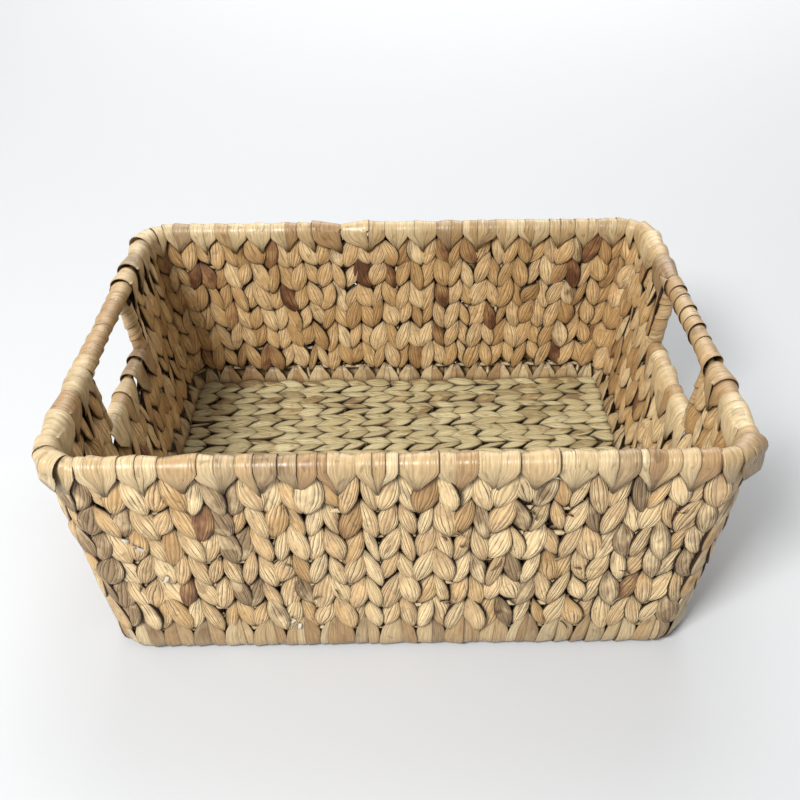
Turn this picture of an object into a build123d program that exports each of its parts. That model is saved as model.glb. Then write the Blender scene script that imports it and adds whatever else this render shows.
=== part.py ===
from build123d import *
import os
from math import degrees, sqrt
from typing import NamedTuple

os.makedirs("parts", exist_ok=True)

# Bread basket: water hyacinth twined over a frame of welded wire. Millimetres, +Z up, the origin
# on the resting plane under the middle. The long walls face -Y (front) and +Y (back), and the
# short walls at -X (left) and +X (right) each have a hand hole under a wrapped grip.

# Overall sizes
RIM_LENGTH = 400.0  # along X, outside the rolled rim
RIM_WIDTH = 300.0  # along Y, outside the rolled rim
BASE_LENGTH = 360.0  # along X, outside the foot
BASE_WIDTH = 298.0  # along Y, outside the foot
HEIGHT = 150.0
CORNER_RADIUS = 28.0  # outside, seen from above

# Twined walls
WALL = 11.0  # over the petals, outside to inside
PETAL_RELIEF = 1.8  # depth of the crease between two petals, on each face
CREASE_RISE = 1.2  # from a hoop up to the crease at the middle of a V, where a petal ends
PETAL_LEAN = 8.5  # how much higher that crease is at the V's edge
LONG_VEES = 16  # V columns along the straight part of a long wall, an even number
SHORT_VEES = 11  # V columns along the straight part of a short wall, an odd number
HAND_HOLE_VEES = 5  # V columns that a hand hole interrupts, an odd number
CORNER_VEES = 2  # V columns round each corner
STRAND_GAP = 0.3  # between neighbouring twined pairs, and between one sub-part and the next

# Wire frame
HOOP_COUNT = 7  # level hoops inside the walls
TOP_HOOP_DROP = 17.6  # from the top of the rim down to the first hoop
LOW_HOOP_HEIGHT = 17.2
HOOP_RADIUS = 1.5
HOOP_SHIFT = 1.3  # the hoops lie this far outside the middle of the wall
UPRIGHT_RADIUS = 1.2
UPRIGHT_SHIFT = 1.5  # the uprights lie this far inside the middle of the wall
UPRIGHT_BEND = 3.0  # centre-line radius of an upright's bend above the foot
UPRIGHT_FOOT_GAP = 0.3  # from the base hoop to the slanted end of an upright
RIM_WIRE_RADIUS = 2.0
WELD_GAP = 0.1  # between wires that a weld joins
WIRE_CLEARANCE = 0.3  # between a wire and the strands round it

# Rolled rim, grips and the binding of the hand holes
RIM_RADIUS = 5.5
BINDING_RADIUS = 4.6
SILL_WIRE_BEND = 4.0  # centre-line radius of the hand hole wire's lower corners
TIP_THICKNESS = 6.4  # of the strips that run down from the wrapping between two petals
TIP_ROOT = 2.5  # how far those strips reach up into the wrapping
TIP_GAP = 0.8  # between those strips and the weave

# Foot, where the wall strands turn under the base hoop
HEM_HEIGHT = 14.0
HEM_DEPTH = 13.8  # from the outside of the foot inwards
SOLE_START = 7.5  # the flat sole of the foot lies between these two depths
SOLE_END = 11.0
HEM_BULGE = (2.2, 5.0)  # depth and height of a point on the foot's rounded outside
HEM_CHAMFER = 2.8  # at the inner edge of the sole
HEM_INNER_HEIGHT = 9.5
BASE_HOOP_DEPTH = 10.0
BASE_HOOP_HEIGHT = 5.0

# Floor, twined along X over cross wires along Y
FLOOR_THICKNESS = 9.2
FLOOR_RELIEF = 1.5
FLOOR_ROWS = 17  # rows of chevrons, an odd number
FLOOR_LEAN = 9.0  # how far a chevron's point leads its ends
CROSS_WIRE_COUNT = 19
CROSS_WIRE_RADIUS = 1.25
CROSS_WIRE_MARGIN = 3.9  # from the outermost cross wires to the end of the floor

# Worked out from the sizes above
RIM_WIRE_HEIGHT = HEIGHT - RIM_RADIUS
WALL_HEAD = HEIGHT - 2 * RIM_RADIUS - STRAND_GAP
WALL_FOOT = HEM_HEIGHT + STRAND_GAP
HOOP_PITCH = (HEIGHT - TOP_HOOP_DROP - LOW_HOOP_HEIGHT) / (HOOP_COUNT - 1)
HOOP_HEIGHTS = [LOW_HOOP_HEIGHT + k * HOOP_PITCH for k in range(HOOP_COUNT)]
HOOP_INSET = WALL / 2 - HOOP_SHIFT
UPRIGHT_INSET = WALL / 2 + UPRIGHT_SHIFT
UPRIGHT_TOP = RIM_WIRE_HEIGHT - RIM_WIRE_RADIUS - WELD_GAP
SILL_HOOP = HOOP_COUNT - 3  # the third hoop from the top runs along the hand holes' sills
SILL_WIRE_HEIGHT = HOOP_HEIGHTS[SILL_HOOP] + 2 * HOOP_RADIUS + WELD_GAP
SILL_HEIGHT = (HOOP_HEIGHTS[SILL_HOOP] + SILL_WIRE_HEIGHT) / 2
SILL_WEAVE_HEAD = SILL_HEIGHT - BINDING_RADIUS - STRAND_GAP
FLOOR_INSET = HEM_DEPTH + STRAND_GAP
FLOOR_HALF_LENGTH = BASE_LENGTH / 2 - FLOOR_INSET
FLOOR_HALF_WIDTH = BASE_WIDTH / 2 - FLOOR_INSET
CROSS_WIRE_PITCH = 2 * (FLOOR_HALF_LENGTH - CROSS_WIRE_MARGIN) / (CROSS_WIRE_COUNT - 1)
CROSS_WIRE_PLACES = [(k - (CROSS_WIRE_COUNT - 1) / 2) * CROSS_WIRE_PITCH for k in range(CROSS_WIRE_COUNT)]


class Seam(NamedTuple):
    """A line up the wall where two twined pairs meet.

    along and across are shares, -1 to 1, of the straight parts of the walls along X and Y, and
    facing is the direction that the wall looks in, in degrees from +X.
    """

    along: float
    across: float
    facing: float


# Seams of the front right quarter, from the front's middle round to the right wall's back end.
# Counted from a corner, every second seam is the middle of a V and the others are V edges.
FRONT_SEAMS = [Seam(k / LONG_VEES, -1, -90) for k in range(LONG_VEES + 1)]
CORNER_SEAMS = [Seam(1, -1, -90 + 45 * k / CORNER_VEES) for k in range(2 * CORNER_VEES + 1)]
SIDE_SEAMS = [Seam(1, k / SHORT_VEES, 0) for k in range(-SHORT_VEES, SHORT_VEES + 1)]
CHEEK_SEAMS = SIDE_SEAMS[: SHORT_VEES - HAND_HOLE_VEES + 1]
SILL_SEAMS = SIDE_SEAMS[SHORT_VEES - HAND_HOLE_VEES : SHORT_VEES + HAND_HOLE_VEES + 1]
JAMB_SEAM = CHEEK_SEAMS[-1]


def half_length(height):
    """Half of the basket's outside length at a height; the short walls lean out evenly."""
    return (BASE_LENGTH + (RIM_LENGTH - BASE_LENGTH) * height / RIM_WIRE_HEIGHT) / 2


def half_width(height):
    """Half of the basket's outside width at a height."""
    return (BASE_WIDTH + (RIM_WIDTH - BASE_WIDTH) * height / RIM_WIRE_HEIGHT) / 2


def outward(seam):
    """The level direction in which a seam's wall faces."""
    return Vector(1, 0, 0).rotate(Axis.Z, seam.facing)


def wall_point(seam, height, inset):
    """The point on a seam at a height, and at a depth behind the outside of the wall."""
    core = Vector(
        seam.along * (half_length(height) - CORNER_RADIUS),
        seam.across * (half_width(height) - CORNER_RADIUS),
        height,
    )
    return core + outward(seam) * (CORNER_RADIUS - inset)


def across_y(point):
    """The same point on the other side of the basket's lengthwise middle."""
    return Vector(point.X, -point.Y, point.Z)


def seam_plane(seam):
    """The plane that holds a seam and crosses the wall: x points outwards and y up the seam."""
    foot = wall_point(seam, 0, WALL / 2)
    slope = wall_point(seam, HEIGHT, WALL / 2) - foot
    return Plane(origin=foot, x_dir=outward(seam), z_dir=outward(seam).cross(slope))


def section_plane(point, facing):
    """The upright plane of a section across a wall: x runs inwards and y up."""
    inward = Vector(-1, 0, 0).rotate(Axis.Z, facing)
    return Plane(origin=point, x_dir=inward, z_dir=inward.cross(Vector(0, 0, 1)))


# Twined pairs of strands


def petal_creases(rise, head):
    """Heights of the creases between a pair's petals: one just above each hoop, and both ends."""
    creases = [WALL_FOOT] + [height + rise for height in HOOP_HEIGHTS if height < head]
    return [min(crease, head) for crease in creases]


def bulged_section(plane, spot, creases, thickness, relief):
    """A twined pair's section: a row of bulges on both faces, from crease to crease.

    spot turns a place along the pair and a depth from its first face into sketch coordinates.
    """
    with BuildSketch(plane) as section:
        with BuildLine():
            for valley, crest in ((relief, 0), (thickness - relief, thickness)):
                for low, high in zip(creases[:-1], creases[1:]):
                    ThreePointArc(spot(low, valley), spot((low + high) / 2, crest), spot(high, valley))
            for end in (creases[0], creases[-1]):
                Line(spot(end, relief), spot(end, thickness - relief))
        make_face()
    return section.sketch.face()


def wall_section(seam, side, creases):
    """A wall pair's section at one of its seams, half a gap to one side of it."""
    plane = seam_plane(seam)

    def spot(height, inset):
        place = plane.to_local_coords(wall_point(seam, height, inset))
        return (place.X, place.Y)

    return bulged_section(plane.offset(side * STRAND_GAP / 2), spot, creases, WALL, PETAL_RELIEF)


def wall_pair(middle, edge, head):
    """One twined pair of a wall, between the middle seam of its V and the V's edge.

    Its petals rise from the middle to the edge, so it is a loft between two sections whose
    bulges differ in height by the lean.
    """
    step = wall_point(edge, 0, WALL / 2) - wall_point(middle, 0, WALL / 2)
    side = 1 if seam_plane(middle).z_dir.dot(step) > 0 else -1
    sections = [
        wall_section(middle, side, petal_creases(CREASE_RISE, head)),
        wall_section(edge, -side, petal_creases(CREASE_RISE + PETAL_LEAN, head)),
    ]
    with BuildPart() as pair:
        loft(sections=sections, ruled=True)
    return pair.part


def wall_pairs(seams, head):
    """Twined pairs between neighbouring seams; the first seam is the edge of a V."""
    pairs = []
    for k, (first, second) in enumerate(zip(seams[:-1], seams[1:])):
        middle, edge = (first, second) if k % 2 else (second, first)
        pairs.append(wall_pair(middle, edge, head))
    return pairs


def floor_section(place, side, lead):
    """A floor pair's section along X, half a gap to one side of a seam at a place along Y."""
    plane = Plane(origin=(0, place + side * STRAND_GAP / 2, 0), x_dir=(1, 0, 0), z_dir=(0, -1, 0))
    low = BASE_HOOP_HEIGHT - FLOOR_THICKNESS / 2
    creases = [wire + lead for wire in CROSS_WIRE_PLACES]
    ends = [-FLOOR_HALF_LENGTH] + creases[1:-1] + [FLOOR_HALF_LENGTH]

    def spot(x, depth):
        return (x, low + depth)

    return bulged_section(plane, spot, ends, FLOOR_THICKNESS, FLOOR_RELIEF)


def floor_pair(index):
    """A twined pair of the floor; even seams are the middles of chevrons and odd seams their edges."""
    pitch = FLOOR_HALF_WIDTH / FLOOR_ROWS
    leads = [FLOOR_LEAN / 2, -FLOOR_LEAN / 2]
    sections = [
        floor_section(index * pitch, 1, leads[index % 2]),
        floor_section((index + 1) * pitch, -1, leads[(index + 1) % 2]),
    ]
    with BuildPart() as pair:
        loft(sections=sections, ruled=True)
    return pair.part


# Wires


def round_wire(path, radius, side=None):
    """A round wire swept along a path; side is where the seam of its surface lies."""
    with BuildPart() as wire:
        with BuildSketch(Plane(origin=path @ 0, x_dir=side, z_dir=path % 0)):
            Circle(radius)
        sweep(path=path)
    return wire.part


def hoop(height, half_x, half_y, bend, radius):
    """A level wire bent to a rounded rectangle."""
    corners = [(-half_x, -half_y), (half_x, -half_y), (half_x, half_y), (-half_x, half_y)]
    with BuildLine(Plane.XY.offset(height)) as path:
        Polyline(*corners, close=True)
        fillet(path.vertices(), bend)
    return round_wire(path.line, radius)


def outline_hoop(height, inset, radius):
    """A hoop that follows the walls at a height, at a depth behind their outside."""
    half_x = half_length(height) - inset
    half_y = half_width(height) - inset
    return hoop(height, half_x, half_y, CORNER_RADIUS - inset, radius)


def foot_hoop(clearance):
    """The hoop that the wall strands turn under."""
    half_x = BASE_LENGTH / 2 - BASE_HOOP_DEPTH
    half_y = BASE_WIDTH / 2 - BASE_HOOP_DEPTH
    bend = CORNER_RADIUS - BASE_HOOP_DEPTH
    return hoop(BASE_HOOP_HEIGHT, half_x, half_y, bend, HOOP_RADIUS + clearance)


def jamb_place(height):
    """The middle of the binding at the front side of the right hand hole."""
    return wall_point(JAMB_SEAM, height, WALL / 2) + Vector(0, BINDING_RADIUS + STRAND_GAP, 0)


def wall_hoop(row, clearance):
    """A hoop inside the walls, cut away where the hand holes interrupt it."""
    height = HOOP_HEIGHTS[row]
    with BuildPart() as wire:
        add(outline_hoop(height, HOOP_INSET, HOOP_RADIUS + clearance))
        if row > SILL_HOOP:
            reach = HOOP_RADIUS + WELD_GAP - clearance - jamb_place(height).Y
            with Locations((0, 0, height)):
                Box(2 * RIM_LENGTH, 2 * reach, HOOP_PITCH, mode=Mode.SUBTRACT)
    return wire.part


def bent_wire(points, bend, radius):
    """A round wire along straight runs with rounded bends."""
    with BuildLine() as path:
        FilletPolyline(*points, radius=bend)
    level_side = (path.line % 0).cross(Vector(0, 0, 1))
    return round_wire(path.line, radius, level_side)


def hand_hole_wire(clearance):
    """The U of wire round the right hand hole, hung from the rim wire."""
    top = jamb_place(UPRIGHT_TOP + clearance)
    low = jamb_place(SILL_WIRE_HEIGHT)
    points = [top, low, across_y(low), across_y(top)]
    return bent_wire(points, SILL_WIRE_BEND, HOOP_RADIUS + clearance)


def upright(seam, top, clearance):
    """A wire that stands on the base hoop and runs up just inside the wall's hoops."""
    base = wall_point(seam, 0, BASE_HOOP_DEPTH) + Vector(0, 0, BASE_HOOP_HEIGHT)
    bend = wall_point(seam, WALL_FOOT, UPRIGHT_INSET)
    foot = base + (bend - base).normalized() * (HOOP_RADIUS + UPRIGHT_FOOT_GAP - clearance)
    points = [foot, bend, wall_point(seam, top + clearance, UPRIGHT_INSET)]
    return bent_wire(points, UPRIGHT_BEND, UPRIGHT_RADIUS + clearance)


def quarter_uprights(clearance):
    """The uprights of the front right quarter, with the one at the front's middle."""
    seams = FRONT_SEAMS[:: LONG_VEES // 2] + SIDE_SEAMS[:1]
    wires = [upright(seam, UPRIGHT_TOP, clearance) for seam in seams]
    return wires + [upright(JAMB_SEAM, SILL_WEAVE_HEAD, clearance)]


def cross_wire(place, clearance):
    """A wire across the floor, butted against the inside of the base hoop."""
    bend = CORNER_RADIUS - BASE_HOOP_DEPTH - HOOP_RADIUS - WELD_GAP
    past = max(abs(place) + CROSS_WIRE_RADIUS - BASE_LENGTH / 2 + CORNER_RADIUS, 0)
    reach = BASE_WIDTH / 2 - CORNER_RADIUS + sqrt(bend**2 - past**2)
    with BuildPart() as wire:
        with BuildSketch(Plane.XZ):
            with Locations((place, BASE_HOOP_HEIGHT)):
                Circle(CROSS_WIRE_RADIUS + clearance)
        extrude(amount=reach, both=True)
    return wire.part


# Wrapping


def wrapped_tube(start, end, radius, bore):
    """A straight run of wrapping: a tube of strips round a wire."""
    with BuildPart() as tube:
        with BuildSketch(Plane(origin=start, z_dir=end - start)):
            Circle(radius)
            Circle(bore, mode=Mode.SUBTRACT)
        extrude(amount=(end - start).length)
    return tube.part


def rim_tube(start, end):
    """A straight run of the rolled rim between two seams."""
    first = wall_point(start, RIM_WIRE_HEIGHT, RIM_RADIUS)
    last = wall_point(end, RIM_WIRE_HEIGHT, RIM_RADIUS)
    trim = (last - first).normalized() * STRAND_GAP / 2
    return wrapped_tube(first + trim, last - trim, RIM_RADIUS, RIM_WIRE_RADIUS + WIRE_CLEARANCE)


def corner_rim():
    """The rolled rim round the front right corner."""
    core = wall_point(CORNER_SEAMS[0], RIM_WIRE_HEIGHT, CORNER_RADIUS)
    gap = degrees(STRAND_GAP / (CORNER_RADIUS - 2 * RIM_RADIUS))
    facing = CORNER_SEAMS[0].facing + gap / 2
    start = core + Vector(CORNER_RADIUS - RIM_RADIUS, 0, 0).rotate(Axis.Z, facing)
    with BuildPart() as rim:
        with BuildSketch(section_plane(start, facing)):
            Circle(RIM_RADIUS)
            Circle(RIM_WIRE_RADIUS + WIRE_CLEARANCE, mode=Mode.SUBTRACT)
        revolve(axis=Axis(core, (0, 0, 1)), revolution_arc=90 - gap)
    return rim.part


def tip(start, end, head):
    """The strips that run down from the wrapping above a weave's head, into the V between two seams."""
    point = petal_creases(CREASE_RISE, head)[-1] + TIP_GAP
    shoulder = petal_creases(CREASE_RISE + PETAL_LEAN, head)[-1] + TIP_GAP
    root = head + STRAND_GAP + TIP_ROOT
    low, high = [
        (wall_point(start, height, WALL / 2) + wall_point(end, height, WALL / 2)) / 2
        for height in (point, root)
    ]
    along = wall_point(end, point, WALL / 2) - wall_point(start, point, WALL / 2)
    reach = (along.length - STRAND_GAP) / 2
    depth = (high - low).length
    rise = depth * (shoulder - point) / (root - point)
    with BuildPart() as wedge:
        with BuildSketch(Plane(origin=low, x_dir=along, z_dir=along.cross(high - low))):
            Polygon((0, 0), (reach, rise), (reach, depth), (-reach, depth), (-reach, rise), align=None)
        extrude(amount=TIP_THICKNESS / 2, both=True)
    return wedge.part


def tips(seams, head):
    """A tip over each V between the seams."""
    return [tip(start, end, head) for start, end in zip(seams[:-2:2], seams[2::2])]


# Foot


def hem_section(plane):
    """The section of the foot: a rounded outside, a flat sole and a flat top under the wall."""
    with BuildSketch(plane) as section:
        with BuildLine():
            ThreePointArc((STRAND_GAP, HEM_HEIGHT), HEM_BULGE, (SOLE_START, 0))
            Polyline(
                (SOLE_START, 0),
                (SOLE_END, 0),
                (HEM_DEPTH, HEM_CHAMFER),
                (HEM_DEPTH, HEM_INNER_HEIGHT),
                (WALL, HEM_HEIGHT),
                (STRAND_GAP, HEM_HEIGHT),
            )
        make_face()
    return section.sketch.face()


def straight_hem(middle, facing, length, count):
    """The turned strands along a straight foot, side by side."""
    pitch = length / count
    along = Vector(0, 1, 0).rotate(Axis.Z, facing)
    width = pitch - STRAND_GAP
    turns = []
    for k in range(count):
        start = middle + along * ((k - (count - 1) / 2) * pitch - width / 2)
        with BuildPart() as turn:
            extrude(hem_section(section_plane(start, facing)), amount=width, dir=along)
        turns.append(turn.part)
    return turns


def corner_hem():
    """The turned strands round the front right corner of the foot."""
    core = Vector(BASE_LENGTH / 2 - CORNER_RADIUS, CORNER_RADIUS - BASE_WIDTH / 2, 0)
    arc = 45 / CORNER_VEES
    gap = degrees(STRAND_GAP / (CORNER_RADIUS - HEM_DEPTH))
    turns = []
    for k in range(2 * CORNER_VEES):
        facing = -90 + k * arc + gap / 2
        edge = core + Vector(CORNER_RADIUS, 0, 0).rotate(Axis.Z, facing)
        section = hem_section(section_plane(edge, facing))
        with BuildPart() as turn:
            revolve(section, axis=Axis(core, (0, 0, 1)), revolution_arc=arc - gap)
        turns.append(turn.part)
    return turns


# Wire frame

with BuildPart() as rim_wire:
    add(outline_hoop(RIM_WIRE_HEIGHT, RIM_RADIUS, RIM_WIRE_RADIUS))
rim_wire.part.label = "rim_wire"
export_step(rim_wire.part, "parts/rim_wire.step")

for row in range(HOOP_COUNT):
    with BuildPart() as hoop_wire:
        add(wall_hoop(row, 0))
    hoop_wire.part.label = f"hoop_wire_{HOOP_COUNT - row}"
    export_step(hoop_wire.part, f"parts/{hoop_wire.part.label}.step")

with BuildPart() as base_hoop:
    add(foot_hoop(0))
base_hoop.part.label = "base_hoop"
export_step(base_hoop.part, "parts/base_hoop.step")

with BuildPart() as base_cross_wires:
    add([cross_wire(place, 0) for place in CROSS_WIRE_PLACES])
base_cross_wires.part.label = "base_cross_wires"
export_step(base_cross_wires.part, "parts/base_cross_wires.step")

with BuildPart() as upright_wires:
    add(quarter_uprights(0))
    mirror(about=Plane.YZ)
    mirror(about=Plane.XZ)
upright_wires.part.label = "upright_wires"
export_step(upright_wires.part, "parts/upright_wires.step")

with BuildPart() as right_hand_hole_wire:
    add(hand_hole_wire(0))

# The channels that those wires leave in the strands

HOOP_CHANNELS = [wall_hoop(row, WIRE_CLEARANCE) for row in range(HOOP_COUNT)]
BASE_CHANNEL = foot_hoop(WIRE_CLEARANCE)
CROSS_CHANNELS = [cross_wire(place, WIRE_CLEARANCE) for place in CROSS_WIRE_PLACES]
HAND_HOLE_CHANNEL = hand_hole_wire(WIRE_CLEARANCE)

with BuildPart() as upright_channels:
    add(quarter_uprights(WIRE_CLEARANCE))
    mirror(about=Plane.YZ)
    mirror(about=Plane.XZ)
UPRIGHT_CHANNELS = [upright_channels.part]

# Twined walls

with BuildPart() as front_weave:
    add(wall_pairs(FRONT_SEAMS, WALL_HEAD))
    add(HOOP_CHANNELS + UPRIGHT_CHANNELS, mode=Mode.SUBTRACT)
    mirror(about=Plane.YZ)

with BuildPart() as front_right_corner_weave:
    add(wall_pairs(CORNER_SEAMS, WALL_HEAD))
    add(HOOP_CHANNELS + UPRIGHT_CHANNELS, mode=Mode.SUBTRACT)

with BuildPart() as right_front_cheek_weave:
    add(wall_pairs(CHEEK_SEAMS, WALL_HEAD))
    add(HOOP_CHANNELS + UPRIGHT_CHANNELS, mode=Mode.SUBTRACT)

with BuildPart() as right_sill_weave:
    add(wall_pairs(SILL_SEAMS[: HAND_HOLE_VEES + 1], SILL_WEAVE_HEAD))
    add(HOOP_CHANNELS + UPRIGHT_CHANNELS, mode=Mode.SUBTRACT)
    mirror(about=Plane.XZ)

# Twined floor

with BuildPart() as base_weave:
    add([floor_pair(index) for index in range(FLOOR_ROWS)])
    with BuildSketch():
        RectangleRounded(2 * FLOOR_HALF_LENGTH, 2 * FLOOR_HALF_WIDTH, CORNER_RADIUS - FLOOR_INSET)
    extrude(amount=HEM_HEIGHT, mode=Mode.INTERSECT)
    add(CROSS_CHANNELS, mode=Mode.SUBTRACT)
    mirror(about=Plane.XZ)
base_weave.part.label = "base_weave"
export_step(base_weave.part, "parts/base_weave.step")

# Foot

with BuildPart() as front_hem:
    add(
        straight_hem(
            Vector(0, -BASE_WIDTH / 2, 0), -90, BASE_LENGTH - 2 * CORNER_RADIUS, 2 * LONG_VEES
        )
    )
    add([BASE_CHANNEL] + UPRIGHT_CHANNELS + CROSS_CHANNELS, mode=Mode.SUBTRACT)

with BuildPart() as right_hem:
    add(straight_hem(Vector(BASE_LENGTH / 2, 0, 0), 0, BASE_WIDTH - 2 * CORNER_RADIUS, 2 * SHORT_VEES))
    add([BASE_CHANNEL] + UPRIGHT_CHANNELS, mode=Mode.SUBTRACT)

with BuildPart() as front_right_corner_hem:
    add(corner_hem())
    add([BASE_CHANNEL] + UPRIGHT_CHANNELS + CROSS_CHANNELS, mode=Mode.SUBTRACT)

# Rolled rim

with BuildPart() as front_rim_wrap:
    add(rim_tube(Seam(-1, -1, -90), Seam(1, -1, -90)))
    add(tips(FRONT_SEAMS, WALL_HEAD))
    mirror(about=Plane.YZ)
    add(UPRIGHT_CHANNELS, mode=Mode.SUBTRACT)

with BuildPart() as front_right_corner_rim_wrap:
    add(corner_rim())
    add(UPRIGHT_CHANNELS, mode=Mode.SUBTRACT)

with BuildPart() as right_front_rim_wrap:
    add(rim_tube(CHEEK_SEAMS[0], JAMB_SEAM))
    add(tips(CHEEK_SEAMS, WALL_HEAD))
    add(UPRIGHT_CHANNELS, mode=Mode.SUBTRACT)

with BuildPart() as right_grip_wrap:
    add(rim_tube(JAMB_SEAM, SILL_SEAMS[-1]))
    add(HAND_HOLE_CHANNEL, mode=Mode.SUBTRACT)

# Binding of the hand holes

with BuildPart() as right_sill_binding:
    end = wall_point(JAMB_SEAM, SILL_HEIGHT, WALL / 2) + Vector(0, STRAND_GAP, 0)
    add(wrapped_tube(end, across_y(end), BINDING_RADIUS, HOOP_RADIUS))
    add(tips(SILL_SEAMS, SILL_WEAVE_HEAD))
    add([HAND_HOLE_CHANNEL, HOOP_CHANNELS[SILL_HOOP]] + UPRIGHT_CHANNELS, mode=Mode.SUBTRACT)

with BuildPart() as right_front_jamb_binding:
    foot = jamb_place(SILL_HEIGHT + BINDING_RADIUS + 2 * STRAND_GAP)
    add(wrapped_tube(foot, jamb_place(WALL_HEAD - STRAND_GAP), BINDING_RADIUS, HOOP_RADIUS))
    add([HAND_HOLE_CHANNEL] + HOOP_CHANNELS[SILL_HOOP + 1 :], mode=Mode.SUBTRACT)

# The finished copies: both long walls, both short walls, and the four quarters


def mirrored(part, planes):
    """The part reflected in each plane in turn."""
    for plane in planes:
        part = mirror(part, about=plane)
    return part


for side, planes in {"front": [], "back": [Plane.XZ]}.items():
    for name, piece in {"weave": front_weave, "hem": front_hem, "rim_wrap": front_rim_wrap}.items():
        copy = mirrored(piece.part, planes)
        with BuildPart() as wall_piece:
            add(copy)
        wall_piece.part.label = f"{side}_{name}"
        export_step(wall_piece.part, f"parts/{wall_piece.part.label}.step")

SHORT_WALL_PIECES = {
    "hand_hole_wire": right_hand_hole_wire,
    "sill_weave": right_sill_weave,
    "hem": right_hem,
    "grip_wrap": right_grip_wrap,
    "sill_binding": right_sill_binding,
}
for side, planes in {"right": [], "left": [Plane.YZ]}.items():
    for name, piece in SHORT_WALL_PIECES.items():
        copy = mirrored(piece.part, planes)
        with BuildPart() as wall_piece:
            add(copy)
        wall_piece.part.label = f"{side}_{name}"
        export_step(wall_piece.part, f"parts/{wall_piece.part.label}.step")

QUARTER_PIECES = {
    "corner_weave": front_right_corner_weave,
    "corner_hem": front_right_corner_hem,
    "corner_rim_wrap": front_right_corner_rim_wrap,
    "cheek_weave": right_front_cheek_weave,
    "cheek_rim_wrap": right_front_rim_wrap,
    "jamb_binding": right_front_jamb_binding,
}
QUARTERS = {
    "front_right": [],
    "front_left": [Plane.YZ],
    "back_right": [Plane.XZ],
    "back_left": [Plane.YZ, Plane.XZ],
}
for quarter, planes in QUARTERS.items():
    for name, piece in QUARTER_PIECES.items():
        copy = mirrored(piece.part, planes)
        with BuildPart() as quarter_piece:
            add(copy)
        quarter_piece.part.label = f"{quarter}_{name}"
        export_step(quarter_piece.part, f"parts/{quarter_piece.part.label}.step")
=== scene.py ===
from typing import Callable, NamedTuple

import bpy
import numpy as np
from mathutils import Matrix, Vector


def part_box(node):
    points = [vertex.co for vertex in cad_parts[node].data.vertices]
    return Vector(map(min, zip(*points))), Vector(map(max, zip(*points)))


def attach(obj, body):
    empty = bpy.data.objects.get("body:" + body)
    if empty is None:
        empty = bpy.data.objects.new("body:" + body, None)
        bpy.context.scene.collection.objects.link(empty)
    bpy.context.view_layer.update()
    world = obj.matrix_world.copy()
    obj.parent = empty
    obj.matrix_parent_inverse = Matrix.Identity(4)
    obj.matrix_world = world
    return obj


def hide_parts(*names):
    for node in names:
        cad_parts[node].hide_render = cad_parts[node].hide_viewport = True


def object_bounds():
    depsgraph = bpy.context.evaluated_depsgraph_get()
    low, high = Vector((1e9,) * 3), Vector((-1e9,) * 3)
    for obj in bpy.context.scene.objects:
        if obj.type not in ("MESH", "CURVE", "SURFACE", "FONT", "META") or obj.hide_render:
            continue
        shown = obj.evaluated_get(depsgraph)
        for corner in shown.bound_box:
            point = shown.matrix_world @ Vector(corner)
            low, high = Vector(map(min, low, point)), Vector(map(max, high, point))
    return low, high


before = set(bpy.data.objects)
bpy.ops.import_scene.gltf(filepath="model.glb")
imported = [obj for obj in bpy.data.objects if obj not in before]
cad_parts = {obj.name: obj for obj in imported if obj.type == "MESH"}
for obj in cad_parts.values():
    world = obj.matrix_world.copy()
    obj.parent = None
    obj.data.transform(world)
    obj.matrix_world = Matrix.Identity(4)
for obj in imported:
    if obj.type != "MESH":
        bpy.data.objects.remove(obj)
cad_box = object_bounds()

# Bread basket of dried water hyacinth, twined over a frame of welded wire. Metres, +Z up, the
# long walls at -Y (front) and +Y (back), and a hand hole in each short wall.

MM = 0.001


def middle_height(node):
    """Halfway between the lowest and the highest point of a frame node."""
    low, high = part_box(node)
    return (low.z + high.z) / 2


# Sizes of the wire frame and of the walls round it
RIM_HALF_LENGTH = cad_box[1].x
RIM_HALF_WIDTH = cad_box[1].y
RIM_WIRE_HEIGHT = middle_height("rim_wire")
RIM_RADIUS = cad_box[1].z - RIM_WIRE_HEIGHT
HOOP_DEPTH = 8.5 * MM  # from the outside of the foot to the outside of the base hoop
FOOT_HALF_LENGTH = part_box("base_hoop")[1].x + HOOP_DEPTH
FOOT_HALF_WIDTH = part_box("base_hoop")[1].y + HOOP_DEPTH
HOOPS = 7
HOOP_HEIGHTS = [middle_height(f"hoop_wire_{k}") for k in range(HOOPS, 0, -1)]  # lowest first
PITCH = HOOP_HEIGHTS[1] - HOOP_HEIGHTS[0]
CORNER_RADIUS = 28 * MM  # of the walls' outside, seen from above
WALL = 11 * MM  # thickness

# The wall is measured round the basket in seams, one twined pair of strands from each to the
# next, starting at the left end of the front's straight part. At these seams a stretch begins,
# and along and across are shares of the straight parts and facing is degrees from +X there.
STRETCH_SEAMS = np.array([0, 32, 36, 58, 62, 94, 98, 120, 124])
STRETCH_ALONG = np.array([-1, 1, 1, 1, 1, -1, -1, -1, -1])
STRETCH_ACROSS = np.array([-1, -1, -1, 1, 1, 1, 1, -1, -1])
STRETCH_FACING = np.array([-90, -90, 0, 0, 90, 90, 180, 180, 270])

# From one wire to the next a strand goes half round its partner, which counts as one turn here.
# It makes a float on one face of the sheet in one turn and on the other face in the next.
# Where in each turn a strand's cross sections lie, closest where a float narrows
STEPS = np.array([0, 0.12, 0.2, 0.26, 0.32, 0.39, 0.46, 0.54, 0.61, 0.68, 0.74, 0.8, 0.88])
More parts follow.
